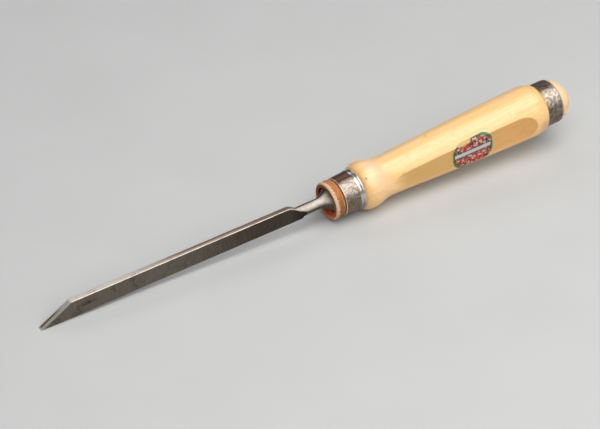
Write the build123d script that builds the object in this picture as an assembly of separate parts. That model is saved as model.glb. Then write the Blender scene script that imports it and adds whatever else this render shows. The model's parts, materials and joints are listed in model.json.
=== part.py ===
"""Narrow mortise chisel: forged blade with a tang, leather washer, ferrule, turned handle,
striking hoop and a small label.

Every piece is drawn in the tool frame: +X runs along the handle's axis from the cutting edge
to the butt, +Z is up and the blade's tall sides face +Y and -Y. place_at_rest() then lays the
whole tool down as it lies on a bench, on its cutting edge and the swell of its handle.
"""
import math
import os

from build123d import *

# Overall
overall_length = 325.0

# Blade: a tall narrow bar, bevelled at the tip and canted a little against the handle's axis
blade_width = 3.2
blade_depth = 9.4
blade_cant = 1.36            # degrees, the tip stands higher than the shoulder
cutting_edge_height = 1.0    # of the edge above the handle's axis
bevel_length = 17.8
shoulder_start = 143.3       # where the top of the bar begins to curve down to the neck
shoulder_knee = (149.4, 6.6)
tongue_tip = (154.2, 3.2)
heel_end = (152.3, 0.0)
blade_arris = 0.15

# Neck and bolster
neck_rise = 1.15             # of the neck and tang's axis above the handle's axis
neck_start = (148.0, 3.1)    # inside the bar, whose ground sides cut it back as far as the tongue
flare_start = (162.0, 2.95)
bolster_face = 169.7
bolster_radius = 7.9
bolster_rim = 0.9

# Tang
tang_root = 5.8
tang_end = 3.0
tang_length = 60.0

# Leather washer
washer_front = 168.1
washer_thickness = 6.1
washer_radius = 10.5
washer_rounding = 1.2
washer_hole_radius = 4.7

# Front ferrule
ferrule_length = 12.0
ferrule_front_radius = 10.5
ferrule_rear_radius = 11.1
ferrule_bore_radius = 9.2
ferrule_rounding = 0.5

# Handle, as places and radii along the axis
bulge_start_radius = 11.3
bulge_peak = (191.2, 13.3)
waist = (204.6, 11.15)
grip_front = (213.6, 11.37)
grip_rear = (297.0, 14.5)
grip_swell = 0.25            # how far the long taper bows out at its middle
shoulder_middle = (302.9, 13.9)
shoulder_end_radius = 12.45

# Two flats, one on each side of the handle
flat_start = 201.8
flat_start_offset = 11.6
flat_level = (211.0, 10.3)
flat_end = (285.0, 12.1)
flat_stop = (299.0, 16.0)

# Striking hoop and domed butt
hoop_front = 305.2
hoop_width = 10.0
hoop_radius = 12.35
hoop_bore_radius = 11.35
hoop_rounding = 0.5
butt_radius = 12.2

# Label on the near flat, wrapped over the flat's two edges
label_middle = (254.3, 0.3)
label_length = 25.6
label_height = 16.0
label_corner = 6.5
label_turn = 3.0             # degrees, its rear end stands higher
label_thickness = 0.12

# Places that follow from the sizes above
ferrule_front = washer_front + washer_thickness
ferrule_rear = ferrule_front + ferrule_length
hoop_rear = hoop_front + hoop_width
bolster_rear = bolster_face + bolster_rim
flat_lean = math.degrees(math.atan2(flat_end[1] - flat_level[1], flat_end[0] - flat_level[0]))
rest_pitch = math.degrees(math.atan2(bulge_peak[1] + cutting_edge_height, bulge_peak[0]))


def turned(outline):
    """Solid of revolution about the tool's axis from a closed outline of (place, radius)."""
    return revolve(Plane.XZ * make_face(outline), Axis.X, 360)


def bar_profile():
    """The bar seen from its side: one bevel up from the edge, and a rounded tongue at its rear."""
    heel = (bevel_length, blade_depth)
    top_end = (shoulder_start, blade_depth)
    lower = Polyline(top_end, heel, (0, 0), heel_end)
    shoulder = Spline(top_end, shoulder_knee, tongue_tip, heel_end, tangents=((1, 0), (-1, -0.55)))
    return Plane.XZ * make_face([lower, shoulder])


def bar():
    """The ground bar, with its long arrises taken off."""
    blank = extrude(bar_profile(), blade_width / 2, both=True)
    long_arrises = [
        edge
        for edge in blank.edges().filter_by(Axis.X)
        if edge.length > bevel_length * 2
    ]
    return chamfer(long_arrises, blade_arris)


def neck_and_bolster():
    """Round neck that flares to the bolster."""
    neck = Polyline(
        (bolster_rear, bolster_radius),
        (bolster_rear, 0),
        (neck_start[0], 0),
        neck_start,
        flare_start,
    )
    rise = (flare_start[0] - neck_start[0], flare_start[1] - neck_start[1])
    flare = TangentArc(flare_start, (bolster_face, bolster_radius), tangent=rise)
    rim = Line((bolster_face, bolster_radius), (bolster_rear, bolster_radius))
    return turned([neck, flare, rim])


def tang():
    """Square tang that tapers to its end inside the handle."""
    root_plane = Plane((bolster_face, 0, 0), x_dir=(0, 1, 0), z_dir=(1, 0, 0))
    end_plane = Plane((bolster_rear + tang_length, 0, 0), x_dir=(0, 1, 0), z_dir=(1, 0, 0))
    root = root_plane * Rectangle(tang_root, tang_root)
    end = end_plane * Rectangle(tang_end, tang_end)
    return loft([root, end])


def blade():
    """The whole forging: bar, neck, bolster and tang in one piece of steel."""
    canted_bar = Pos(0, 0, cutting_edge_height) * Rot(0, blade_cant, 0)
    grind = extrude(bar_profile(), bolster_radius, both=True)
    between_sides = Box(overall_length, blade_width, overall_length)
    raised = Pos(0, 0, neck_rise)
    neck = raised * neck_and_bolster() - canted_bar * (grind - between_sides)
    return canted_bar * bar() + neck + raised * tang()


def leather_washer():
    """Leather ring with a bulged rim, pressed in where the bolster sits on it."""
    ring = Pos(washer_front, 0, 0) * Rot(0, 90, 0) * Cylinder(
        washer_radius, washer_thickness, align=(Align.CENTER, Align.CENTER, Align.MIN)
    )
    ring = fillet(ring.edges(), washer_rounding)
    along = Pos(washer_front, 0, neck_rise) * Rot(0, 90, 0)
    hole = along * Cylinder(
        washer_hole_radius, washer_thickness, align=(Align.CENTER, Align.CENTER, Align.MIN)
    )
    seat = along * Cylinder(
        bolster_radius, bolster_rear - washer_front, align=(Align.CENTER, Align.CENTER, Align.MIN)
    )
    return ring - hole - seat


def rounded_ring(front, rear, bore, front_radius, rear_radius, rounding):
    """Ring about the axis with its two outer rims rounded over."""
    section = make_face(
        Polyline(
            (front, bore),
            (front, front_radius),
            (rear, rear_radius),
            (rear, bore),
            close=True,
        )
    )
    rims = section.vertices().filter_by(lambda corner: corner.Y > bore + rounding)
    return revolve(Plane.XZ * fillet(rims, rounding), Axis.X, 360)


def front_ferrule():
    """Steel ring round the front of the handle, a little wider at its rear."""
    return rounded_ring(
        ferrule_front,
        ferrule_rear,
        ferrule_bore_radius,
        ferrule_front_radius,
        ferrule_rear_radius,
        ferrule_rounding,
    )


def striking_hoop():
    """Steel ring that keeps the butt from splitting under a mallet."""
    return rounded_ring(hoop_front, hoop_rear, hoop_bore_radius, hoop_radius, hoop_radius, hoop_rounding)


def flat_cutter():
    """What is milled off one side of the handle: a flat with a curved run-out at each end."""
    flat = Line(flat_level, flat_end)
    front_run_out = TangentArc(flat_level, (flat_start, flat_start_offset), tangent=-(flat % 0))
    rear_run_out = TangentArc(flat_end, flat_stop, tangent=flat % 1)
    waste = Polyline(
        (flat_start, flat_start_offset),
        (flat_start, overall_length / 10),
        (flat_stop[0], overall_length / 10),
        flat_stop,
    )
    face = make_face([front_run_out, flat, rear_run_out, waste])
    return extrude(face, bulge_peak[1] * 2, both=True)


def grip_line(extra=0.0):
    """The long taper of the handle, bowed a little, with extra added to its radius."""
    middle = (grip_front[0] + grip_rear[0]) / 2
    middle_radius = (grip_front[1] + grip_rear[1]) / 2 + grip_swell
    return ThreePointArc(
        (grip_front[0], grip_front[1] + extra),
        (middle, middle_radius + extra),
        (grip_rear[0], grip_rear[1] + extra),
    )


def handle():
    """Turned handle: bulge, waist and long swell, a spigot for each ring, and a domed butt."""
    front = Polyline(
        (ferrule_front, 0),
        (ferrule_front, ferrule_bore_radius),
        (ferrule_rear, ferrule_bore_radius),
        (ferrule_rear, bulge_start_radius),
    )
    bulge = TangentArc(bulge_peak, (ferrule_rear, bulge_start_radius), tangent=(-1, 0))
    inflection = ((bulge_peak[0] + waist[0]) / 2, (bulge_peak[1] + waist[1]) / 2)
    fall = TangentArc(bulge_peak, inflection, tangent=(1, 0))
    hollow = TangentArc(waist, inflection, tangent=(-1, 0))
    rise = TangentArc(waist, grip_front, tangent=(1, 0))
    grip = grip_line()
    shoulder = TangentArc(grip_rear, shoulder_middle, tangent=grip % 1)
    shoulder_end = TangentArc(
        shoulder_middle, (hoop_front, shoulder_end_radius), tangent=shoulder % 1
    )
    rear = Polyline(
        (hoop_front, shoulder_end_radius),
        (hoop_front, hoop_bore_radius),
        (hoop_rear, hoop_bore_radius),
        (hoop_rear, butt_radius),
    )
    butt_height = overall_length - hoop_rear
    dome_radius = (butt_radius**2 + butt_height**2) / (2 * butt_height)
    dome = RadiusArc((hoop_rear, butt_radius), (overall_length, 0), dome_radius)
    axis_line = Line((overall_length, 0), (ferrule_front, 0))
    outline = [front, bulge, fall, hollow, rise, grip, shoulder, shoulder_end, rear, dome, axis_line]
    body = turned(outline)
    cutter = flat_cutter()
    body = body - cutter - mirror(cutter, Plane.XZ)
    return body - Pos(0, 0, neck_rise) * tang()


def grip_form(extra):
    """The long taper with its near flat, grown outwards by extra."""
    taper = grip_line(extra)
    ends = Polyline(taper @ 1, (grip_rear[0], 0), (grip_front[0], 0), taper @ 0)
    near_side = Box(
        overall_length, overall_length, overall_length, align=(Align.CENTER, Align.MAX, Align.CENTER)
    )
    near_side = Pos(flat_level[0], -flat_level[1] - extra, 0) * Rot(0, 0, -flat_lean) * near_side
    return turned([taper, ends]) - near_side


def label():
    """Thin label that follows the near flat and the rounds above and below it."""
    outline = RectangleRounded(label_length, label_height, label_corner)
    place = Pos(label_middle[0], 0, label_middle[1]) * Rot(0, -label_turn, 0) * Rot(90, 0, 0)
    column = place * extrude(outline, bulge_peak[1] * 2)
    return (grip_form(label_thickness) - grip_form(0)) & column


def place_at_rest(pieces):
    """Pitch the tool so that edge and bulge lie on Z = 0, with the origin under its middle."""
    pitch = Rot(0, -rest_pitch, 0)
    box = Compound(children=[pitch * piece for piece in pieces.values()]).bounding_box()
    middle = (box.min.X + box.max.X) / 2
    rest = Pos(-middle, 0, -box.min.Z) * pitch
    return {name: rest * piece for name, piece in pieces.items()}


def main():
    pieces = {
        "blade": blade(),
        "leather_washer": leather_washer(),
        "front_ferrule": front_ferrule(),
        "handle": handle(),
        "striking_hoop": striking_hoop(),
        "label": label(),
    }
    os.makedirs("parts", exist_ok=True)
    for name, piece in place_at_rest(pieces).items():
        export_step(piece, f"parts/{name}.step")


main()
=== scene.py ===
import json
import math

import bpy
import numpy as np
from mathutils import Matrix, Vector, noise
from mathutils.bvhtree import BVHTree


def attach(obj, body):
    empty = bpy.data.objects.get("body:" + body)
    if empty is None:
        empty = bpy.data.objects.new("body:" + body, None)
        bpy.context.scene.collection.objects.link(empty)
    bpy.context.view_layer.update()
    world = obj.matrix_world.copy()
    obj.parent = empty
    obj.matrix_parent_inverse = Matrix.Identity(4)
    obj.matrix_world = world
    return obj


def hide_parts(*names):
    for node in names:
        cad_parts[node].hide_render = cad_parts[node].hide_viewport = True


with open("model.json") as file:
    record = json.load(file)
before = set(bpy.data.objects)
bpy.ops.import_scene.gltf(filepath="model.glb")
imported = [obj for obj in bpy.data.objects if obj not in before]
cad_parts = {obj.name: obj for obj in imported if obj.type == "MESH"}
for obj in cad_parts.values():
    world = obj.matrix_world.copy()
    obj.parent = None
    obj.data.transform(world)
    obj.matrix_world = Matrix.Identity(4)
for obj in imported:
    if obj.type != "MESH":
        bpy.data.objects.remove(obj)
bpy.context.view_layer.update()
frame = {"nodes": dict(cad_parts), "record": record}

# ---------------------------------------------------------------------------
# The tool frame: millimetres, +X from the cutting edge to the butt along the
# handle's axis, +Y away from the label, +Z up. Everything below is drawn in it.
# ---------------------------------------------------------------------------
MM = 0.001
mounts = {mount["name"]: mount for mount in frame["record"]["mounts"]}
tool_axis = Vector(mounts["hoop_sleeve"]["axis"]).normalized()
tool_side = Vector((0, 1, 0))
tool_up = tool_axis.cross(tool_side)
hoop_middle = Vector(mounts["hoop_sleeve"]["pos_m"])
edge_reach = min((v.co - hoop_middle).dot(tool_axis) for v in frame["nodes"]["blade"].data.vertices)
tool_origin = hoop_middle + tool_axis * edge_reach
tool_pitch = math.atan2(tool_axis.z, tool_axis.x)
turn_to_world = Matrix((tool_axis, tool_side, tool_up)).transposed()


def to_world(points):
    """Tool-frame millimetres to metres in the shared frame."""
    turn = np.array(turn_to_world)
    return np.asarray(points) @ turn.T * MM + np.array(tool_origin)


def to_tool(points):
    """Metres in the shared frame to tool-frame millimetres."""
    turn = np.array(turn_to_world)
    return (np.asarray(points) - np.array(tool_origin)) @ turn / MM


def node_points(node):
    """A CAD node's vertices in the tool frame."""
    mesh = frame["nodes"][node].data
    flat = np.zeros(len(mesh.vertices) * 3)
    mesh.vertices.foreach_get("co", flat)
    return to_tool(flat.reshape(-1, 3))


def node_tree(node):
    """A CAD node's surface in the tool frame, ready for ray casts."""
    faces = [tuple(face.vertices) for face in frame["nodes"][node].data.polygons]
    return BVHTree.FromPolygons([Vector(p) for p in node_points(node)], faces)


def reach(tree, x, middle, angle, outside=40.0):
    """Distance from the line (x, 0, middle) out to the CAD surface. Angle 0 is +Y, 90 degrees is up."""
    direction = Vector((0, math.cos(angle), math.sin(angle)))
    hit = tree.ray_cast(Vector((x, 0, middle)) + direction * outside, -direction, outside)
    return outside - hit[3] if hit[0] is not None else 0.0


def ring_size(node):
    """(front, rear, inner radius, outer radius) of a CAD ring about the tool's axis."""
    points = node_points(node)
    radii = np.hypot(points[:, 1], points[:, 2])
    return points[:, 0].min(), points[:, 0].max(), radii.min(), radii.max()


# ---------------------------------------------------------------------------
# Meshes
# ---------------------------------------------------------------------------
def bumpiness(points, size, seed):
    """Smooth noise from -1 to 1 at every point, with features about size millimetres wide."""
    shift = Vector((seed * 17.3, seed * 5.1, seed * 29.7))
    return np.array([noise.noise(Vector(p) / size + shift) for p in points])


def pitting(points, cell, share, seed):
    """0 to 1, deepest in the middle of scattered round pits. Only a share of the cells has one."""
    shift = Vector((seed * 11.9, seed * 3.7, seed * 7.3))
    depth = np.zeros(len(points))
    for i, p in enumerate(points):
        where = Vector(p) / cell + shift
        distances, centres = noise.voronoi(where)
        chance = noise.cell(centres[0] * 7.0)  # the same for the whole cell
        if chance < share:
            size = 0.18 + 0.3 * (share - chance) / share
            depth[i] = max(0.0, 1.0 - (distances[0] / size) ** 2)
    return depth


def grid_mesh(name, grid, masks, loop=False, sharp=40.0):
    """Closed mesh through rows of points, each row a ring. The end rows are capped, or joined."""
    grid = np.asarray(grid, float)
    rows, columns = grid.shape[:2]
    faces = []
    for row in range(rows if loop else rows - 1):
        below, above = row * columns, (row + 1) % rows * columns
        for column in range(columns):
            beside = (column + 1) % columns
            faces.append((below + column, below + beside, above + beside, above + column))
    if not loop:
        faces.append(tuple(reversed(range(columns))))
        faces.append(tuple(range((rows - 1) * columns, rows * columns)))
    mesh = bpy.data.meshes.new(name)
    mesh.from_pydata(to_world(grid.reshape(-1, 3)).tolist(), [], faces)
    for mask, values in masks:
        attribute = mesh.attributes.new(mask, "FLOAT", "POINT")
        attribute.data.foreach_set("value", np.asarray(values, np.float32).ravel())
    mesh.validate()
    mesh.polygons.foreach_set("use_smooth", [True] * len(mesh.polygons))
    mesh.set_sharp_from_angle(angle=math.radians(sharp))
    piece = bpy.data.objects.new(name, mesh)
    bpy.context.scene.collection.objects.link(piece)
    return piece


def soften(grid, weight, rounds):
    """Moves each point of a grid of rings part of the way to the middle of its four neighbours."""
    grid = np.array(grid, float)
    weight = np.broadcast_to(weight, grid.shape[:2])[..., None]
    for _ in range(rounds):
        above, below = np.roll(grid, -1, 0), np.roll(grid, 1, 0)
        above[-1], below[0] = grid[-1], grid[0]
        middle = (above + below + np.roll(grid, 1, 1) + np.roll(grid, -1, 1)) / 4
        grid = grid + (middle - grid) * weight
    return grid


def ring_points(x, middle, angles, radii):
    """Points around the line (x, 0, middle)."""
    angles, radii = np.asarray(angles), np.asarray(radii)
    return np.stack([np.full(len(angles), float(x)), np.cos(angles) * radii,
                     middle + np.sin(angles) * radii], axis=1)


def stations(*stretches):
    """Places along X: each stretch is (from, to, spacing)."""
    places = []
    for start, stop, spacing in stretches:
        count = max(1, round(abs(stop - start) / spacing))
        places += [start + (stop - start) * i / count for i in range(count)]
    return places + [stretches[-1][1]]


def spread(low, high, count, crowd):
    """Fractions from low to high that crowd towards both ends."""
    plain = np.linspace(0, 1, count, endpoint=False)
    eased = plain - crowd * np.sin(2 * math.pi * plain) / (2 * math.pi)
    return low + (high - low) * eased


def ride_as(piece, node, material):
    """Everything that a piece which stands for a CAD node needs."""
    piece.data.materials.clear()
    piece.data.materials.append(material)
    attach(piece, "root")
    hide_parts(node)


# ---------------------------------------------------------------------------
# Materials: a small helper, then one function for each
# ---------------------------------------------------------------------------
class Surface:
    """A material's node tree, with its coordinates in tool-frame millimetres."""

    def __init__(self, name, **settings):
        self.material = bpy.data.materials.new(name)
        self.material.use_nodes = True
        self.tree = self.material.node_tree
        self.shader = self.tree.nodes["Principled BSDF"]
        for socket, value in settings.items():
            self.shader.inputs[socket.replace("_", " ").title().replace("Ior", "IOR")].default_value = value
        coordinates = self.tree.nodes.new("ShaderNodeTexCoord")
        mapping = self.node("ShaderNodeMapping", Vector=coordinates.outputs["Object"])
        mapping.vector_type = "TEXTURE"
        mapping.inputs["Location"].default_value = tool_origin
        mapping.inputs["Rotation"].default_value = (0, -tool_pitch, 0)
        mapping.inputs["Scale"].default_value = (MM, MM, MM)
        self.place = mapping.outputs["Vector"]
        split = self.node("ShaderNodeSeparateXYZ", Vector=self.place)
        self.x, self.y, self.z = split.outputs

    def node(self, kind, **inputs):
        """A new node, with its sockets set to values or fed from other nodes."""
        node = self.tree.nodes.new(kind)
        for socket, value in inputs.items():
            self.feed(node.inputs[socket], value)
        return node

    def feed(self, socket, value):
        """Links another node's output to a socket, or sets the socket to a value."""
        if isinstance(value, bpy.types.NodeSocket):
            self.tree.links.new(value, socket)
        else:
            socket.default_value = value

    def maths(self, operation, first, second=0.0, third=0.0, clamp=False):
        node = self.tree.nodes.new("ShaderNodeMath")
        node.operation = operation
        node.use_clamp = clamp
        for socket, value in zip(node.inputs, (first, second, third)):
            self.feed(socket, value)
        return node.outputs[0]

    def stretched(self, x, y, z):
        """The coordinates scaled along each axis, so that a texture of size 1 is 1/scale mm wide."""
        node = self.tree.nodes.new("ShaderNodeVectorMath")
        node.operation = "MULTIPLY"
        self.feed(node.inputs[0], self.place)
        node.inputs[1].default_value = (x, y, z)
        return node.outputs[0]

    def noise(self, vector, scale, detail, rough, bend=0.0):
        """Soft noise from about 0.2 to 0.8. Its features are about 1/scale wide in the vector's units."""
        node = self.node("ShaderNodeTexNoise", Vector=vector, Scale=scale, Detail=detail,
                         Roughness=rough, Distortion=bend)
        return node.outputs["Fac"]

    def near(self, centre, size_x, size_z):
        """1 at a place on the near side, given as (x, z), falling to 0 at an ellipse round it."""
        x = self.maths("DIVIDE", self.maths("SUBTRACT", self.x, centre[0]), size_x)
        z = self.maths("DIVIDE", self.maths("SUBTRACT", self.z, centre[1]), size_z)
        away = self.maths("MULTIPLY_ADD", x, x, self.times(z, z))
        return self.times(self.window(away, 1.0, 0.2), self.window(self.y, 0.0, -0.5))

    def facing(self, middle, angle):
        """1 where a turned surface faces this angle above the near side, by the cosine between."""
        turn = math.radians(angle)
        height = self.maths("SUBTRACT", self.z, middle)
        toward = self.maths("MULTIPLY_ADD", self.y, -math.cos(turn), self.times(height, math.sin(turn)))
        radius = self.maths("SQRT", self.maths("MULTIPLY_ADD", self.y, self.y, self.times(height, height)))
        return self.maths("DIVIDE", toward, radius)

    def band(self, colour, value, middle, half_width, paint):
        """Paint laid over a colour where value is within half_width of middle."""
        away = self.maths("ABSOLUTE", self.maths("SUBTRACT", value, middle))
        return self.blend(self.window(away, half_width + 0.02, half_width), colour, paint)

    def window(self, value, low, high):
        """0 below low, 1 above high, smooth between. With low above high it falls instead."""
        node = self.node("ShaderNodeMapRange", Value=value)
        node.interpolation_type = "SMOOTHSTEP"
        if low <= high:
            ends, results = (low, high), (0.0, 1.0)
        else:
            ends, results = (high, low), (1.0, 0.0)
        node.inputs["From Min"].default_value, node.inputs["From Max"].default_value = ends
        node.inputs["To Min"].default_value, node.inputs["To Max"].default_value = results
        return node.outputs["Result"]

    def times(self, *values):
        """The product of its values."""
        result = values[0]
        for value in values[1:]:
            result = self.maths("MULTIPLY", result, value)
        return result

    def mask(self, name):
        """A mask that the mesh carries at its points."""
        node = self.tree.nodes.new("ShaderNodeAttribute")
        node.attribute_name = name
        return node.outputs["Fac"]

    def blend(self, factor, first, second):
        """The first colour where factor is 0, the second where it is 1."""
        node = self.tree.nodes.new("ShaderNodeMix")
        node.data_type = "RGBA"
        self.feed(node.inputs["Factor"], factor)
        for socket, value in ((node.inputs[6], first), (node.inputs[7], second)):
            if isinstance(value, tuple) and len(value) == 3:
                value = (*value, 1.0)
            self.feed(socket, value)
        return node.outputs[2]

    def bump(self, height, depth):
        """Bump from a height of 0 to 1 that stands for depth millimetres."""
        node = self.node("ShaderNodeBump", Height=height)
        node.inputs["Strength"].default_value = 1.0
        node.inputs["Distance"].default_value = depth * MM
        return node.outputs["Normal"]

    def finish(self, **sockets):
        """Feeds the shader and hands back the material."""
        for socket, value in sockets.items():
            self.feed(self.shader.inputs[socket.replace("_", " ").title()], value)
        return self.material


FORGING_HEIGHT = 1.15     # of the axis of neck and tang above the handle's axis
STAIN = (26.0, 5.5)       # a rust stain on the blade's near side: place along it and height
BLUSH = (190.5, 1.6)      # a pink patch on the bulge


def bar_side(s, scratches, clouds, specks, rust):
    """The two tall ground sides: brown, lighter towards the tip, with streaks across them."""
    side = s.blend(s.window(s.x, 135.0, 60.0), (0.07, 0.055, 0.042), (0.165, 0.14, 0.114))
    shown = s.maths("MULTIPLY_ADD", s.window(s.x, 130.0, 80.0), 0.6, 0.15)
    side = s.blend(s.times(s.window(scratches, 0.45, 0.72), shown), side, (0.23, 0.2, 0.165))
    streaks = s.times(s.window(scratches, 0.46, 0.3), s.window(clouds, 0.45, 0.6))
    side = s.blend(s.times(streaks, 0.7), side, (0.06, 0.042, 0.032))
    side = s.blend(s.times(rust, 0.5), side, (0.06, 0.034, 0.022))
    tongue = s.window(s.x, 145.0, 152.0)
    side = s.blend(s.times(tongue, 0.7), side, (0.026, 0.02, 0.016))
    stain = s.times(s.near(STAIN, 7.0, 1.5), s.window(specks, 0.42, 0.56))
    return s.blend(s.times(stain, 0.8), side, (0.03, 0.018, 0.012))


def bar_top(s, lengthwise, clouds, specks, rust):
    """The narrow top: bright near the bevel, then rusty brown on its far half."""
    near_half = s.window(s.maths("MULTIPLY_ADD", specks, 1.2, s.y), 0.9, 0.1)
    upper = s.blend(near_half, (0.26, 0.17, 0.11), (0.56, 0.47, 0.39))
    upper = s.blend(s.window(s.x, 95.0, 150.0), upper, (0.24, 0.165, 0.115))
    clean = s.window(s.maths("MULTIPLY_ADD", clouds, -30.0, s.x), 75.0, 25.0)
    upper = s.blend(clean, upper, (0.78, 0.71, 0.62))
    upper = s.blend(s.times(rust, 0.5), upper, (0.2, 0.11, 0.065))
    return s.blend(s.times(s.window(lengthwise, 0.5, 0.8), 0.35), upper, (0.75, 0.68, 0.6))


def bar_bevel(s, lengthwise, specks):
    """The bevel: ground lengthwise, brown on its far half at the tip, with a bright cutting edge."""
    ground = s.blend(lengthwise, (0.5, 0.43, 0.35), (0.88, 0.81, 0.71))
    far_half = s.window(s.maths("MULTIPLY_ADD", specks, 0.8, s.y), 0.2, 0.7)
    brown = s.times(s.window(s.x, 15.0, 7.0), far_half)
    ground = s.blend(brown, ground, (0.24, 0.15, 0.1))
    return s.blend(s.window(s.x, 0.9, 0.5), ground, (0.95, 0.93, 0.9))


def forged_shank(s, clouds, specks):
    """Neck and bolster: dark forging skin, with a painted reflection that makes the lower near side slightly
    lighter and a painted highlight band higher on the near side. Returns both.
    """
    # painted reflection: the near side, where it faces a little downwards, is slightly lighter
    underside = s.window(s.facing(FORGING_HEIGHT, -10.0), 0.3, 0.9)
    shank = s.blend(underside, (0.085, 0.072, 0.058), (0.1, 0.084, 0.066))
    # painted highlight: a light band where the surface faces 52 degrees above the near side
    band = s.window(s.facing(FORGING_HEIGHT, 52.0), 0.6, 0.95)
    band = s.times(band, s.window(s.x, 170.0, 166.5))
    wear_and_highlight = s.blend(s.window(clouds, 0.35, 0.6), (0.42, 0.35, 0.29), (0.62, 0.54, 0.46))
    shank = s.blend(band, shank, wear_and_highlight)
    return s.blend(s.times(s.window(specks, 0.5, 0.72), 0.45), shank, (0.2, 0.16, 0.13)), band


def blade_steel():
    """Aged tool steel. The masks say which part of the forging a point is on."""
    s = Surface("blade_steel", metallic=1.0)
    arris, top, bevel, forged = (s.mask(name) for name in ("arris", "top", "bevel", "forged"))
    scratches = s.noise(s.stretched(3.0, 1.0, 0.2), 1.0, 4.0, 0.65)
    lengthwise = s.noise(s.stretched(0.1, 5.0, 1.0), 1.0, 3.0, 0.6)
    clouds = s.noise(s.place, 0.16, 6.0, 0.6, 0.6)
    specks = s.noise(s.place, 1.6, 5.0, 0.7)
    rust = s.times(s.window(clouds, 0.52, 0.68), s.window(specks, 0.4, 0.6))
    shank, band = forged_shank(s, clouds, specks)
    side = bar_side(s, scratches, clouds, specks, rust)
    colour = s.blend(top, side, bar_top(s, lengthwise, clouds, specks, rust))
    colour = s.blend(bevel, colour, bar_bevel(s, lengthwise, specks))
    colour = s.blend(forged, colour, shank)
    # painted highlight: a thin light line along the two top arrises of the ground bar
    bright = s.times(arris, s.maths("MULTIPLY_ADD", s.window(specks, 0.25, 0.5), 0.6, 0.4))
    colour = s.blend(bright, colour, (0.66, 0.58, 0.52))
    # the painted highlight band on the neck: less metallic and a little rougher there, so that it stays
    # light
    wear_and_highlight = s.times(band, forged)
    roughness = s.maths("MULTIPLY_ADD", clouds, 0.2, 0.3)
    roughness = s.maths("MULTIPLY_ADD", rust, 0.3, roughness)
    roughness = s.maths("MULTIPLY_ADD", top, 0.12, roughness)
    roughness = s.maths("MULTIPLY_ADD", forged, -0.1, roughness, clamp=True)
    roughness = s.maths("MULTIPLY_ADD", wear_and_highlight, 0.15, roughness)
    metallic = s.maths("MULTIPLY_ADD", wear_and_highlight, -0.75, 1.0)
    height = s.maths("MULTIPLY_ADD", scratches, 0.5, s.times(specks, 0.5))
    return s.finish(base_color=colour, roughness=roughness, metallic=metallic, normal=s.bump(height, 0.03))


def leather():
    """Thick leather: fibrous cut edge with a frayed tan border, and a red-brown face towards the blade, with
    painted light on the face's lower part.
    """
    s = Surface("leather", roughness=0.75)
    front, rear = ring_size("leather_washer")[:2]
    face = s.mask("face")
    fibres = s.noise(s.stretched(2.4, 0.8, 0.8), 1.0, 5.0, 0.75, 0.6)
    blotches = s.noise(s.place, 0.4, 5.0, 0.6)
    fine = s.noise(s.place, 2.2, 5.0, 0.75)
    cut = s.blend(s.window(fibres, 0.36, 0.64), (0.34, 0.1, 0.02), (0.62, 0.25, 0.07))
    cut = s.blend(s.times(s.window(blotches, 0.45, 0.7), 0.5), cut, (0.42, 0.11, 0.02))
    cut = s.blend(s.times(s.window(s.z, 8.5, 3.5), 0.75), cut, (0.25, 0.088, 0.022))
    flecks = s.times(s.window(fine, 0.5, 0.64), s.window(s.z, 9.0, 2.0))
    cut = s.blend(s.times(flecks, 0.75), cut, (0.13, 0.045, 0.015))
    frayed = s.blend(s.window(fine, 0.35, 0.6), (0.42, 0.22, 0.09), (0.88, 0.68, 0.45))
    torn = s.noise(s.place, 0.75, 4.0, 0.7)
    ragged = s.maths("MULTIPLY_ADD", torn, 4.5, s.x)
    near_front = s.window(ragged, front + 4.4, front + 3.6)
    near_rear = s.window(ragged, rear + 1.0, rear + 1.6)
    colour = s.blend(s.times(near_front, 0.85), cut, frayed)
    colour = s.blend(s.times(near_rear, 0.6), colour, frayed)
    hide = s.blend(s.window(blotches, 0.35, 0.7), (0.26, 0.045, 0.008), (0.5, 0.11, 0.025))
    # painted light: the lower part of the face is lighter, where the overhead lamp reaches it
    hide = s.blend(s.window(s.z, -4.5, -6.5), hide, (0.66, 0.16, 0.04))
    colour = s.blend(face, colour, hide)
    height = s.maths("MULTIPLY_ADD", fibres, 0.7, s.times(fine, 0.6))
    return s.finish(base_color=colour, normal=s.bump(height, 0.3))


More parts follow.
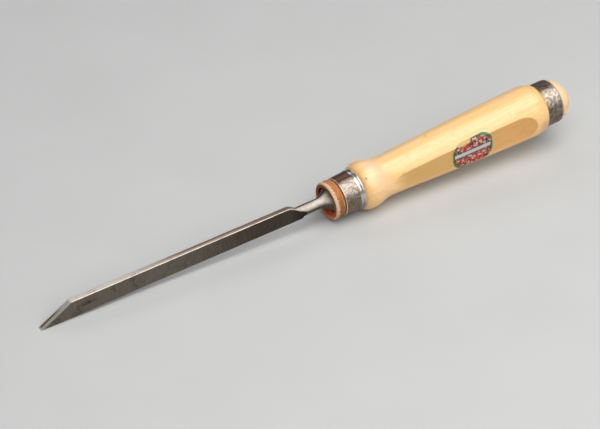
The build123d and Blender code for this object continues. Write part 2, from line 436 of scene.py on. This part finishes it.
def ferrule_steel():
    """Worn steel, reddish brown towards the top, with a specked painted highlight band on the near side, a
    painted highlight along the front edge, and polished beads at the rear with painted light on their upper
    near side and a painted bluish-grey reflection elsewhere.
    """
    s = Surface("ferrule_steel", metallic=1.0)
    front = ring_size("front_ferrule")[0]
    lip, pit = s.mask("lip"), s.mask("pit")
    clouds = s.noise(s.place, 0.3, 6.0, 0.65, 0.5)
    grain = s.noise(s.place, 2.0, 6.0, 0.72)
    around = s.noise(s.stretched(4.0, 0.3, 0.3), 1.0, 4.0, 0.6)
    # painted highlight: a specked light band where the ring faces 47 degrees above the near side
    painted_highlight = s.window(s.maths("MULTIPLY_ADD", clouds, 0.06, s.facing(0.0, 47.0)), 0.86, 0.9)
    colour = s.blend(s.window(clouds, 0.3, 0.7), (0.2, 0.155, 0.125), (0.28, 0.22, 0.175))
    upward = s.window(s.maths("MULTIPLY_ADD", clouds, 3.0, s.z), 8.2, 11.8)
    colour = s.blend(upward, colour, (0.19, 0.095, 0.066))
    bright = s.blend(s.window(grain, 0.5, 0.62), (0.42, 0.36, 0.3), (0.2, 0.155, 0.12))
    colour = s.blend(painted_highlight, colour, bright)
    colour = s.blend(s.times(pit, 0.5), colour, (0.09, 0.06, 0.05))
    # painted highlight: a bright line along the front edge
    colour = s.blend(s.window(s.x, front + 0.55, front + 0.35), colour, (0.7, 0.6, 0.5))
    # painted light on the beads: light where they face up the near side, a painted bluish-grey reflection
    # elsewhere
    lip_light_and_shade = s.blend(s.window(s.facing(0.0, 45.0), 0.45, 0.85), (0.3, 0.3, 0.33), (0.66, 0.63, 0.6))
    colour = s.blend(lip, colour, lip_light_and_shade)
    roughness = s.maths("MULTIPLY_ADD", clouds, 0.2, 0.26)
    roughness = s.maths("MULTIPLY_ADD", lip, -0.1, roughness, clamp=True)
    height = s.maths("MULTIPLY_ADD", around, 0.4, s.times(grain, 0.6))
    height = s.times(height, s.maths("SUBTRACT", 1.0, lip))
    return s.finish(base_color=colour, roughness=roughness, normal=s.bump(height, 0.015))


def hoop_steel():
    """Dark pitted steel with a painted highlight band on its near side, painted shade on its lower half, and
    a paler rear rim.
    """
    s = Surface("hoop_steel", metallic=1.0)
    pit, rear = s.mask("pit"), s.mask("rear")
    clouds = s.noise(s.place, 0.17, 4.0, 0.55, 0.4)
    grain = s.noise(s.place, 0.9, 5.0, 0.65, 0.3)
    colour = s.blend(s.window(clouds, 0.3, 0.7), (0.24, 0.195, 0.155), (0.4, 0.34, 0.28))
    colour = s.blend(s.times(s.window(grain, 0.5, 0.7), 0.3), colour, (0.16, 0.125, 0.1))
    # painted shade: the lower half is darker
    colour = s.blend(s.times(s.window(s.z, 3.0, -3.0), 0.7), colour, (0.13, 0.105, 0.085))
    # painted highlight: a light band where the ring faces 47 degrees above the near side
    painted_highlight = s.window(s.maths("MULTIPLY_ADD", clouds, 0.25, s.facing(0.0, 47.0)), 0.98, 1.06)
    colour = s.blend(s.times(painted_highlight, 0.85), colour, (0.56, 0.48, 0.4))
    upward = s.times(s.window(s.z, 9.0, 11.5), s.window(s.y, -7.0, -3.0))
    colour = s.blend(s.times(upward, 0.7), colour, (0.2, 0.135, 0.115))
    colour = s.blend(s.times(pit, 0.45), colour, (0.06, 0.045, 0.035))
    colour = s.blend(s.times(rear, 0.7), colour, (0.38, 0.35, 0.37))
    roughness = s.maths("MULTIPLY_ADD", grain, 0.3, 0.24, clamp=True)
    height = s.maths("MULTIPLY_ADD", clouds, 0.5, s.times(grain, 0.5))
    return s.finish(base_color=colour, roughness=roughness, normal=s.bump(height, 0.03))


def wood_grain(s, figure, hairs, patches):
    """Pale hardwood: soft growth bands, long figure, fine hairs, pores and flecks. Returns pores too."""
    wander = s.noise(s.stretched(0.012, 0.08, 0.08), 1.0, 3.0, 0.5)
    rings = s.maths("MULTIPLY_ADD", s.y, 0.4, s.times(s.z, 0.16))
    rings = s.maths("MULTIPLY_ADD", wander, 6.0, rings)
    bands = s.window(s.maths("SINE", s.times(rings, 2 * math.pi)), -0.2, 1.1)
    pores = s.window(s.noise(s.stretched(0.35, 3.4, 3.4), 1.0, 2.0, 0.5), 0.62, 0.72)
    flecks = s.window(s.noise(s.stretched(0.3, 1.1, 1.1), 1.0, 4.0, 0.7), 0.54, 0.66)
    colour = s.blend(s.window(patches, 0.35, 0.68), (0.93, 0.56, 0.2), (0.95, 0.6, 0.25))
    colour = s.blend(s.times(bands, 0.24), colour, (0.74, 0.39, 0.12))
    colour = s.blend(s.times(s.window(figure, 0.45, 0.7), 0.25), colour, (0.8, 0.45, 0.15))
    colour = s.blend(s.times(s.window(hairs, 0.5, 0.75), 0.4), colour, (0.66, 0.34, 0.1))
    colour = s.blend(s.times(pores, 0.4), colour, (0.4, 0.2, 0.07))
    return s.blend(s.times(flecks, 0.3), colour, (0.66, 0.36, 0.13)), pores


def browned_flats(s, colour, figure, hairs):
    """The flats are a deeper brown than the turned wood, most at their rear, and fade out in front."""
    browned = s.blend(s.window(s.x, 240.0, 288.0), (0.52, 0.265, 0.022), (0.6, 0.235, 0.008))
    depth = s.maths("MULTIPLY_ADD", hairs, 0.4, 0.5)
    lower_border = s.maths("MULTIPLY_ADD", s.window(s.z, -8.0, -4.0), 0.35, 0.65)
    front_end = s.window(s.maths("MULTIPLY_ADD", figure, 8.0, s.x), 205.0, 218.0)
    return s.blend(s.times(s.mask("flat"), depth, lower_border, front_end), colour, browned)


def handle_wood():
    """Lacquered wood along the handle from the ferrule to the butt: painted shade behind the ferrule and
    under the rear shoulder, painted highlights on top of the bulge and the dome, and a blush, grime and a
    knot.
    """
    s = Surface("handle_wood", coat_weight=1.0, coat_roughness=0.32, coat_ior=1.65)
    figure = s.noise(s.stretched(0.02, 0.22, 0.22), 1.0, 5.0, 0.6)
    hairs = s.noise(s.stretched(0.05, 1.8, 1.8), 1.0, 4.0, 0.65)
    patches = s.noise(s.stretched(0.05, 0.12, 0.12), 1.0, 4.0, 0.5)
    colour, pores = wood_grain(s, figure, hairs, patches)
    colour = browned_flats(s, colour, figure, hairs)
    # painted shade: a darker golden band on the near side just behind the ferrule
    behind_ferrule = s.window(s.maths("MULTIPLY_ADD", patches, 10.0, s.x), 197.0, 192.0)
    collar = s.times(behind_ferrule, s.window(s.y, 0.0, -4.0))
    colour = s.blend(s.times(collar, 0.5), colour, (0.8, 0.42, 0.11))
    # painted highlight: the top of the bulge is lighter
    bulge = s.times(s.window(s.x, 204.0, 198.0), s.window(s.x, 189.0, 193.0), s.window(s.z, 0.0, 4.0))
    colour = s.blend(s.times(bulge, 0.6), colour, (0.9, 0.6, 0.36))
    # painted shade: the lower part of the rear shoulder is darker
    shoulder = s.times(s.window(s.x, 297.0, 301.0), s.window(s.x, 306.0, 305.0), s.window(s.z, 3.0, -2.0))
    colour = s.blend(s.times(shoulder, 0.6), colour, (0.56, 0.27, 0.07))
    # painted highlight: the top of the domed butt is lighter
    dome = s.times(s.window(s.x, 314.0, 316.0), s.window(s.z, 1.0, 6.0))
    colour = s.blend(s.times(dome, 0.6), colour, (0.95, 0.76, 0.5))
    blush = s.times(s.near(BLUSH, 4.0, 1.6), s.window(figure, 0.3, 0.5))
    colour = s.blend(s.times(blush, 0.3), colour, (0.85, 0.45, 0.3))
    colour = s.blend(s.times(s.mask("grime"), 0.75), colour, (0.36, 0.17, 0.06))
    colour = s.blend(s.mask("knot"), colour, (0.16, 0.03, 0.006))
    roughness = s.maths("MULTIPLY_ADD", hairs, 0.15, 0.4)
    height = s.maths("MULTIPLY_ADD", hairs, 0.6, s.times(pores, -0.5))
    return s.finish(base_color=colour, roughness=roughness, normal=s.bump(height, 0.04))


def badge_print(s, upward):
    """A red field with small scattered shapes, and a plain pale band across it."""
    shapes = s.node("ShaderNodeTexVoronoi", Vector=s.stretched(0.85, 0.0, 1.1), Scale=1.0)
    shapes.distance = "MANHATTAN"
    split = s.node("ShaderNodeSeparateColor", Color=shapes.outputs["Color"])
    pick, other = split.outputs[0], split.outputs[1]
    field = s.blend(s.window(pick, 0.66, 0.68), (0.44, 0.008, 0.012), (0.015, 0.012, 0.012))
    field = s.blend(s.window(other, 0.84, 0.86), field, (0.5, 0.42, 0.32))
    middle = s.window(shapes.outputs["Distance"], 0.3, 0.26)
    field = s.blend(s.times(middle, s.window(other, 0.2, 0.18)), field, (0.72, 0.6, 0.42))
    field = s.band(field, upward, 0.0, 0.2, (0.02, 0.018, 0.018))
    return s.band(field, upward, 0.0, 0.12, (0.5, 0.5, 0.49))


def label_print():
    """A generic badge: the print inside a dark line and a green rim, with wear through to the wood."""
    s = Surface("label_print", roughness=0.35, coat_weight=0.3, coat_roughness=0.15)
    points = node_points("label")
    middle = (points.min(0) + points.max(0)) / 2
    half = (points.max(0) - points.min(0)) / 2
    across = s.maths("DIVIDE", s.maths("SUBTRACT", s.x, middle[0]), half[0])
    upward = s.maths("DIVIDE", s.maths("SUBTRACT", s.z, middle[2]), half[2])
    wear = s.noise(s.place, 0.9, 5.0, 0.7)
    outward = s.maths("POWER", s.maths("ABSOLUTE", across), 3.0)
    outward = s.maths("ADD", outward, s.maths("POWER", s.maths("ABSOLUTE", upward), 3.0))
    outward = s.maths("MULTIPLY_ADD", wear, 0.5, outward)
    colour = s.blend(s.window(outward, 0.93, 0.97), badge_print(s, upward), (0.02, 0.022, 0.02))
    colour = s.blend(s.window(outward, 1.03, 1.07), colour, (0.02, 0.17, 0.06))
    along_notch = s.maths("DIVIDE", s.maths("SUBTRACT", across, -0.45), 0.42)
    above_notch = s.maths("DIVIDE", s.maths("SUBTRACT", upward, 1.0), 0.4)
    notch = s.maths("MULTIPLY_ADD", along_notch, along_notch, s.times(above_notch, above_notch))
    notch = s.window(s.maths("MULTIPLY_ADD", wear, 1.2, notch), 1.6, 1.4)
    wear_and_highlight = s.maths("MAXIMUM", notch, s.window(wear, 0.58, 0.62))
    colour = s.blend(wear_and_highlight, colour, (0.62, 0.38, 0.13))
    return s.finish(base_color=colour, normal=s.bump(wear, 0.02))


def floor_paint():
    """Plain pale floor."""
    s = Surface("floor_paint", roughness=0.75)
    tone = s.noise(s.place, 0.02, 3.0, 0.5)
    colour = s.blend(tone, (0.5, 0.5, 0.49), (0.54, 0.54, 0.53))
    return s.finish(base_color=colour)


# ---------------------------------------------------------------------------
# Pieces
# ---------------------------------------------------------------------------
BAR_MIDDLE = 3.26         # height of the bar's ray line above its lower edge
NECK_BOX = 1.36           # half the height of the box that spreads the rays round the neck
TANG_ROOT = 2.9           # half the tang's thickness at the bolster
TANG_END = 1.5            # and at its end
BORE_GAP = 0.05           # between the tang and the handle
STEP_GAP = 0.02           # kept from every step of the handle, so that no ray runs along its wall
BOLSTER_FROM = 160        # the bolster and the tang lie behind this place
FORGING_FROM = 140        # and the forged skin roughens from here
FLAT_SPAN = (202, 301)    # where the handle's two flats lie
KNOT = (188.3, 52.0)      # place along the tool, degrees up from the near side
KNOT_RADIUS = 13.0        # from the handle's axis


def bar_angles(half_width, up, down, beside=20, over=16):
    """Directions to points round a tall rectangle, crowded towards its four corners, counted from +Y."""
    right = np.arctan2(spread(-down, up, beside, 0.9), half_width)
    top = np.arctan2(np.full(over, up), -spread(-half_width, half_width, over, 0.8))
    left = math.pi - np.arctan2(spread(-up, down, beside, 0.9) * -1, half_width)
    bottom = np.arctan2(np.full(over, -down), spread(-half_width, half_width, over, 0.8))
    return np.concatenate([right, top, left, np.where(bottom < 0, bottom + 2 * math.pi, bottom)])


def blade_places(heel, bolster_front, bolster_rear):
    """Rings along the forging, close together where its shape changes fast."""
    return stations((0.02, 1.0, 0.25), (1.0, heel, 0.8), (heel, heel + 1, 0.25), (heel + 1, 140, 1.4),
                    (140, 156, 0.25), (156, bolster_front - 1, 0.5), (bolster_front - 1, bolster_rear, 0.15))


def blade_masks(ring, x, low, high, half_width, heel, tongue):
    """Which points of a ring are on the top arrises, the top, the bevel and the forged skin."""
    from_side = half_width - np.abs(ring[:, 1])
    from_top = high - ring[:, 2]
    ground = float(x < shoulder_from(tongue) + 4)
    corner = (from_side < 0.3) & (from_top < 0.3) & (from_side + from_top < 0.42)
    top = (from_top < 0.06) & (from_side > 0.08)
    bevel = (ring[:, 2] - low > 0.04) & (from_top < 0.06)
    skin = (np.abs(from_side) > 0.07) | (x > tongue - 0.1)
    ramp = np.clip((x - shoulder_from(tongue)) / 3, 0, 1)
    return corner * ground, top * (x > heel), bevel * (x <= heel), np.where(skin, ramp, 0.0)


def build_blade():
    """Bar, neck, bolster and tang as one loft: rings of rays cast at the CAD forging."""
    tree = node_tree("blade")
    points = node_points("blade")
    half_width = reach(tree, 80, 3.0, 0)
    heel = points[points[:, 2].argmax(), 0]
    on_side = np.abs(np.abs(points[:, 1]) - half_width) < 0.001
    tongue = points[on_side, 0].max()
    bolster_front, bolster_rear = bolster_size()[1:]
    rings, masks = [], []
    for x in blade_places(heel, bolster_front, bolster_rear):
        high, low = reach_from(tree, x, 1), reach_from(tree, x, -1)
        middle, up, down = ring_middle(x, high, low, heel, tongue)
        angles = bar_angles(half_width, up, down)
        radii = np.array([reach(tree, x, middle, angle) for angle in angles])
        rings.append(ring_points(x, middle, angles, radii))
        masks.append(blade_masks(rings[-1], x, low, high, half_width, heel, tongue))
    grid = np.array(rings)
    masks = np.array(masks, float).transpose(1, 0, 2)
    junction = np.clip(1 - np.abs(grid[..., 0] - tongue + 4) / 7, 0, 1)
    grid = soften(grid, 0.25 * junction, 2)
    grid = weather_blade(grid, masks[0], heel)
    turn = np.arctan2(grid[-1][:, 2] - FORGING_HEIGHT, grid[-1][:, 1])
    tang = [square_ring(bolster_rear, turn, TANG_ROOT), square_ring(points[:, 0].max(), turn, TANG_END)]
    grid = np.concatenate([grid, np.array(tang)])
    masks = np.pad(masks, ((0, 0), (0, len(tang)), (0, 0)))
    named = tuple(zip(("arris", "top", "bevel", "forged"), masks))
    return grid_mesh("chisel_blade", grid, named, sharp=32)


def bolster_size():
    """(radius, front, rear) of the bolster's rim, from the CAD forging."""
    points = node_points("blade")
    points = points[points[:, 0] > BOLSTER_FROM]
    radii = np.hypot(points[:, 1], points[:, 2] - FORGING_HEIGHT)
    rim = points[radii > radii.max() - 0.05, 0]
    return radii.max(), rim.min(), rim.max()


def shoulder_from(tongue):
    """Where the top of the bar begins to turn down to the neck."""
    return tongue - 11.0


def ring_middle(x, high, low, heel, tongue):
    """Height of the line that a ring's rays aim at, and the box of the ring above and below it."""
    if x > tongue:
        return FORGING_HEIGHT, NECK_BOX, NECK_BOX
    if x < heel:
        middle = min(low + BAR_MIDDLE, (low + high) / 2)
        return middle, high - middle, middle - low
    middle = FORGING_HEIGHT if x > tongue - 4 else low + BAR_MIDDLE
    return middle, max(high - middle, NECK_BOX), max(middle - low, NECK_BOX)


def weather_blade(grid, arris, heel):
    """Takes the perfect flatness off the forging and small nicks out of its long arrises."""
    flat = grid.reshape(-1, 3)
    forging = np.clip((flat[:, 0] - FORGING_FROM) / 12, 0, 1)
    swell = bumpiness(flat, 6.0, 1) * (0.03 + 0.09 * forging)
    swell += bumpiness(flat, 1.6, 2) * (0.008 + 0.02 * forging)
    nicks = np.clip(bumpiness(flat, 2.2, 3) + 0.35, 0, 1) * arris.ravel() * 0.13 * (flat[:, 0] > heel)
    middle = np.repeat(grid[..., 2].mean(1), grid.shape[1])
    outward = flat * np.array([0, 1, 1])
    outward[:, 2] -= middle
    outward /= np.maximum(np.linalg.norm(outward, axis=1, keepdims=True), 1e-6)
    return (flat + outward * (np.minimum(swell, 0.02) - nicks)[:, None]).reshape(grid.shape)


def square_ring(x, turn, half):
    """A square section about the forging's axis, at the same directions as another ring."""
    radius = half / np.maximum(np.abs(np.cos(turn)), np.abs(np.sin(turn)))
    return ring_points(x, FORGING_HEIGHT, turn, radius)


def reach_from(tree, x, side, outside=40.0):
    """Height of the CAD surface on the middle plane, from above (side 1) or from below (side -1)."""
    hit = tree.ray_cast(Vector((x, 0, outside * side)), Vector((0, 0, -side)), outside * 2)
    return hit[0].z if hit[0] is not None else 0.0


def lathe(name, outline, around, rules, shape):
    """Closed ring from an outline of (x, radius) points. shape() gives each point's push along its
    radius and the masks that go with it; the rules give the rest of the masks from the outline."""
    angles = np.linspace(0, 2 * math.pi, around, endpoint=False)
    grid = np.array([ring_points(x, 0, angles, np.full(around, radius)) for x, radius in outline])
    flat = grid.reshape(-1, 3)
    push, masks = shape(flat)
    outward = flat * np.array([0, 1, 1])
    outward /= np.linalg.norm(outward, axis=1, keepdims=True)
    flat = flat + outward * push[:, None]
    for mask, rule in rules.items():
        masks[mask] = np.repeat([rule(x, radius) for x, radius in outline], around)
    return grid_mesh(name, flat.reshape(grid.shape), tuple(masks.items()), loop=True)


def arc(centre, radius, start, stop, count):
    """Points of an arc in an outline, angles in degrees from +X towards +radius."""
    turns = np.radians(np.linspace(start, stop, count))
    return [(centre[0] + radius * math.cos(t), centre[1] + radius * math.sin(t)) for t in turns]


def between(start, stop, count):
    """Evenly spaced points from start up to, and without, stop."""
    return [tuple(np.array(start) + (np.array(stop) - np.array(start)) * i / count) for i in range(count)]


def bead(start, stop, crown, sag):
    """A rounded bead in an outline, lower by sag at its two ends than at its crown."""
    steps = np.linspace(0, 1, 10)
    return [(start + (stop - start) * step, crown - sag * (2 * step - 1) ** 2) for step in steps]


def build_ferrule():
    """Front ferrule: a slightly tapered sleeve with a double bead at its rear."""
    front, rear, bore, outer = ring_size("front_ferrule")
    front_radius = outer - 0.6
    lip_front = rear - 3.0
    body_rear_radius = outer - 0.2
    outline = between((front, bore), (front, front_radius - 0.4), 3)
    outline += arc((front + 0.4, front_radius - 0.4), 0.4, 180, 95, 5)
    outline += between((front + 0.5, front_radius), (lip_front - 0.2, body_rear_radius), 34)
    outline += between((lip_front - 0.2, body_rear_radius), (lip_front, body_rear_radius - 0.15), 3)
    outline += bead(lip_front, lip_front + 1.5, outer, 0.3)
    outline += bead(lip_front + 1.75, rear, outer, 0.35)
    outline += between((rear, outer - 0.45), (rear, bore), 3)
    outline += between((rear, bore), (front, bore), 8)

    def shape(points):
        outside = (np.hypot(points[:, 1], points[:, 2]) > bore + 0.6) & (points[:, 0] < lip_front - 0.1)
        pit = pitting(points, 0.75, 0.14, 3) * outside
        push = (bumpiness(points, 5.0, 4) - 0.6) * 0.03 - pit * 0.02
        return push * outside, {"pit": np.clip(pit * 1.3, 0, 1)}

    rules = {"lip": lambda x, radius: float(x > lip_front - 0.05)}
    return lathe("front_ferrule_ring", outline, 260, rules, shape)


def build_hoop():
    """Striking hoop: a plain pitted ring with rounded rims."""
    front, rear, bore, outer = ring_size("striking_hoop")
    outline = between((front, bore), (front, outer - 0.5), 3)
    outline += arc((front + 0.5, outer - 0.5), 0.5, 180, 95, 5)
    outline += between((front + 0.5, outer), (rear - 0.7, outer), 34)
    outline += arc((rear - 0.7, outer - 0.7), 0.7, 90, 0, 6)
    outline += between((rear, outer - 0.8), (rear, bore), 3)
    outline += between((rear, bore), (front, bore), 6)

    def shape(points):
        outside = np.hypot(points[:, 1], points[:, 2]) > bore + 0.5
        pit = pitting(points, 1.5, 0.1, 6) * outside
        push = (bumpiness(points, 4.0, 7) - 0.7) * 0.06 + (bumpiness(points, 1.5, 8) - 0.7) * 0.012
        push = push - pit * 0.06
        return push * outside, {"pit": np.clip(pit * 1.3, 0, 1)}

    rules = {"rear": lambda x, radius: float(x > rear - 0.9)}
    return lathe("striking_hoop_ring", outline, 280, rules, shape)


def build_washer():
    """Leather washer: a bulged rim, a seat for the bolster in its front, and a stepped rear."""
    front, rear, _, outer = ring_size("leather_washer")
    seat = bolster_size()[0]
    seat_rear = front + 1.6
    rim_rear = rear - 0.6
    step = outer - 2.2
    bore = seat - 2.6
    outline = between((front, seat + 0.05), (front, outer - 0.9), 5)
    outline += arc((front + 0.75, outer - 0.85), 0.78, 180, 100, 6)
    outline += between((front + 0.75, outer - 0.08), (rim_rear - 0.75, outer - 0.05), 16)
    outline += arc((rim_rear - 0.75, outer - 0.85), 0.75, 80, 0, 6)
    outline += between((rim_rear, outer - 0.9), (rim_rear, step), 3)
    outline += between((rim_rear, step), (rear, step), 2)
    outline += between((rear, step), (rear, bore), 4)
    outline += between((rear, bore), (seat_rear, bore), 3)
    outline += between((seat_rear, bore), (seat_rear, seat + 0.05), 3)
    outline += between((seat_rear, seat + 0.05), (front, seat + 0.05), 3)

    def shape(points):
        radii = np.hypot(points[:, 1], points[:, 2])
        outside = radii > seat + 0.5
        from_face = np.minimum(points[:, 0] - front, rear - points[:, 0])
        edge = np.clip(1.25 - from_face / 0.75, 0, 1) * (radii > outer - 1.1)
        layers = bumpiness(points * np.array([3.0, 0.6, 0.6]), 1.4, 11)
        fray = bumpiness(points * np.array([1.0, 1.4, 1.4]), 0.8, 12)
        push = (bumpiness(points, 5.0, 10) - 0.5) * 0.12 + (layers - 0.5) * 0.05 + (fray - 0.4) * 0.1 * edge
        return push * outside, {}

    def on_face(x, radius):
        in_front = x < front + 0.3 and radius < outer - 0.75
        return float(in_front or radius < seat + 0.2)

    return lathe("leather_washer_ring", outline, 260, {"face": on_face}, shape)


DENTS = (  # place along the tool, degrees up from the near side, radius, depth
    (210.2, 24.0, 1.3, 0.10),
    (246.0, 62.0, 1.6, 0.08),
    (281.0, 48.0, 1.2, 0.09),
    (233.0, 98.0, 2.2, 0.10),
    (267.0, 128.0, 1.5, 0.12),
    (300.5, 75.0, 1.1, 0.12),
    (226.0, 160.0, 1.8, 0.10),
    (289.0, 230.0, 2.0, 0.12),
)


def handle_places(front, butt, ferrule_rear, hoop_front, hoop_rear):
    """Rings along the handle, close together where it curves and on both sides of every edge."""
    gap = STEP_GAP
    return stations((front + gap, ferrule_rear - gap, 3.0), (ferrule_rear + gap, 201, 0.45),
                    (201, 217, 0.5), (217, 284, 1.0), (284, hoop_front - gap, 0.4),
                    (hoop_front + gap, hoop_rear - gap, 2.0), (hoop_rear + gap, butt - 2.5, 0.4),
                    (butt - 2.5, butt - 0.02, 0.1))


def handle_angles(top, near):
    """Directions round a section with two flats, counted from +Y and crowded towards their edges."""
    edge = math.acos(min(near / top, 0.999)) if top else 0.3
    edge = max(edge, 0.3)
    half_turn = [spread(-edge, edge, 40, 0.6), spread(edge, math.pi - edge, 100, 0.6)]
    return np.concatenate([part + turn for turn in (0, math.pi) for part in half_turn])


def handle_rings(tree, places):
    """Rings of rays cast at the CAD handle, and which of their points are on its flats."""
    rings, on_flat = [], []
    for x in places:
        top = reach(tree, x, 0, math.pi / 2)
        angles = handle_angles(top, reach(tree, x, 0, math.pi))
        radii = np.array([reach(tree, x, 0, angle) for angle in angles])
        rings.append(ring_points(x, 0, angles, radii))
        on_flat.append((radii < top - 0.04) & (FLAT_SPAN[0] < x < FLAT_SPAN[1]))
    return np.array(rings), np.array(on_flat)


def handle_dents(tree, points):
    """How far the dents push each point in, and how much grime lies in them."""
    depths, grime = np.zeros(len(points)), np.zeros(len(points))
    for x, angle, radius, depth in DENTS:
        turn = math.radians(180 - angle)
        direction = Vector((0, math.cos(turn), math.sin(turn)))
        middle = np.array([x, *(direction * reach(tree, x, 0, turn))[1:]])
        away = np.linalg.norm(points - middle, axis=1) / radius
        hollow = np.clip(1 - away**2, 0, 1) ** 1.5
        depths = depths + depth * hollow
        grime = np.maximum(grime, hollow * 0.35)
    return depths, grime


def knot_mask(points):
    """1 on the small dark knot in the bulge, 0 away from it."""
    turn = math.radians(KNOT[1])
    middle = np.array([KNOT[0], -KNOT_RADIUS * math.cos(turn), KNOT_RADIUS * math.sin(turn)])
    return np.clip(1.6 - np.linalg.norm(points - middle, axis=1) / 0.55, 0, 1)


def build_handle():
    """Turned handle with two flats, as rings of rays cast at the CAD handle, with a bore for the tang."""
    tree = node_tree("handle")
    points = node_points("handle")
    front, butt = points[:, 0].min(), points[:, 0].max()
    ferrule_rear = ring_size("front_ferrule")[1]
    hoop_front, hoop_rear = ring_size("striking_hoop")[:2]
    grid, on_flat = handle_rings(tree, handle_places(front, butt, ferrule_rear, hoop_front, hoop_rear))
    in_grip = (grid[..., 0] > 201.5) & (grid[..., 0] < hoop_front - 0.7)
    grid = soften(grid, 0.4 * in_grip, 3)
    flat = grid.reshape(-1, 3)
    place = flat[:, 0]
    dents, dent_grime = handle_dents(tree, flat)
    bare = (place > ferrule_rear + 0.4) & ((place < hoop_front - 0.3) | (place > hoop_rear + 0.3))
    push = (bumpiness(flat * np.array([0.3, 1, 1]), 4.0, 20) - 0.6) * 0.03 - dents
    outward = flat * np.array([0, 1, 1])
    outward /= np.maximum(np.linalg.norm(outward, axis=1, keepdims=True), 1e-6)
    seams = np.clip(1 - (place - ferrule_rear) / 0.9, 0, 1) * 0.6
    seams = seams + np.clip(1 - np.abs(place - hoop_rear) / 0.5, 0, 1) * 0.9
    grime = np.clip(np.maximum(dent_grime, seams), 0, 1)
    masks = (("flat", on_flat.ravel()), ("grime", grime), ("knot", knot_mask(flat)))
    grid = (flat + outward * (push * bare)[:, None]).reshape(grid.shape)
    turn = np.arctan2(grid[0][:, 2], grid[0][:, 1])
    tang_end = node_points("blade")[:, 0].max()
    bore = [square_ring(tang_end + STEP_GAP, turn, TANG_END + BORE_GAP),
            square_ring(front + STEP_GAP, turn, TANG_ROOT + BORE_GAP)]
    clear = len(bore) * grid.shape[1]
    masks = tuple((name, np.pad(mask.astype(float), (clear, 0))) for name, mask in masks)
    return grid_mesh("turned_handle", np.concatenate([np.array(bore), grid]), masks, sharp=30)


# ---------------------------------------------------------------------------
# Camera, floor and lights
# ---------------------------------------------------------------------------
def make_camera():
    """A long lens, aimed down at the tool from its near side."""
    azimuth = math.radians(-33.09)
    elevation = math.radians(34.67)
    roll = math.radians(-0.37)
    distance = 1.1325
    aim = Vector((-0.0108, -0.0003, 0.0100))
    back = Vector((math.sin(azimuth) * math.cos(elevation),
                   -math.cos(azimuth) * math.cos(elevation),
                   math.sin(elevation)))
    data = bpy.data.cameras.new("camera")
    data.sensor_width = 36.0
    data.lens = 132.0
    camera = bpy.data.objects.new("camera", data)
    bpy.context.scene.collection.objects.link(camera)
    turn = back.to_track_quat("Z", "Y").to_matrix().to_4x4()
    camera.matrix_world = Matrix.Translation(aim + back * distance) @ turn @ Matrix.Rotation(roll, 4, "Z")
    bpy.context.scene.camera = camera


def make_light(name, place, size, power):
    """A rectangular light that shines at the middle of the tool. Metres and watts."""
    data = bpy.data.lights.new(name, "AREA")
    data.shape = "RECTANGLE"
    data.size, data.size_y = size
    data.energy = power
    light = bpy.data.objects.new(name, data)
    bpy.context.scene.collection.objects.link(light)
    light.location = place
    light.rotation_euler = (Vector((0, 0, 0.01)) - Vector(place)).to_track_quat("-Z", "Y").to_euler()


def make_stage():
    """A pale floor, three soft lights and a dim sky."""
    half = 3.0
    corners = [(-half, -half, 0), (half, -half, 0), (half, half, 0), (-half, half, 0)]
    mesh = bpy.data.meshes.new("floor")
    mesh.from_pydata(corners, [], [(0, 1, 2, 3)])
    floor = bpy.data.objects.new("floor", mesh)
    bpy.context.scene.collection.objects.link(floor)
    mesh.materials.append(floor_paint())
    make_light("overhead", (0.1, -0.35, 1.1), (2.0, 1.0), 17.5)
    make_light("front", (0.1, -1.1, 0.75), (1.4, 0.7), 7)
    make_light("back", (0.05, 0.95, 0.85), (1.3, 0.4), 2.2)
    world = bpy.data.worlds.new("studio")
    world.use_nodes = True
    world.node_tree.nodes["Background"].inputs["Color"].default_value = (0.9, 0.95, 1.0, 1)
    world.node_tree.nodes["Background"].inputs["Strength"].default_value = 0.15
    bpy.context.scene.world = world
    bpy.context.scene.view_settings.view_transform = "Standard"


def main():
    make_camera()
    make_stage()
    ride_as(build_blade(), "blade", blade_steel())
    ride_as(build_washer(), "leather_washer", leather())
    ride_as(build_ferrule(), "front_ferrule", ferrule_steel())
    ride_as(build_handle(), "handle", handle_wood())
    ride_as(build_hoop(), "striking_hoop", hoop_steel())
    label = frame["nodes"]["label"]
    label.data.materials.clear()
    label.data.materials.append(label_print())


main()
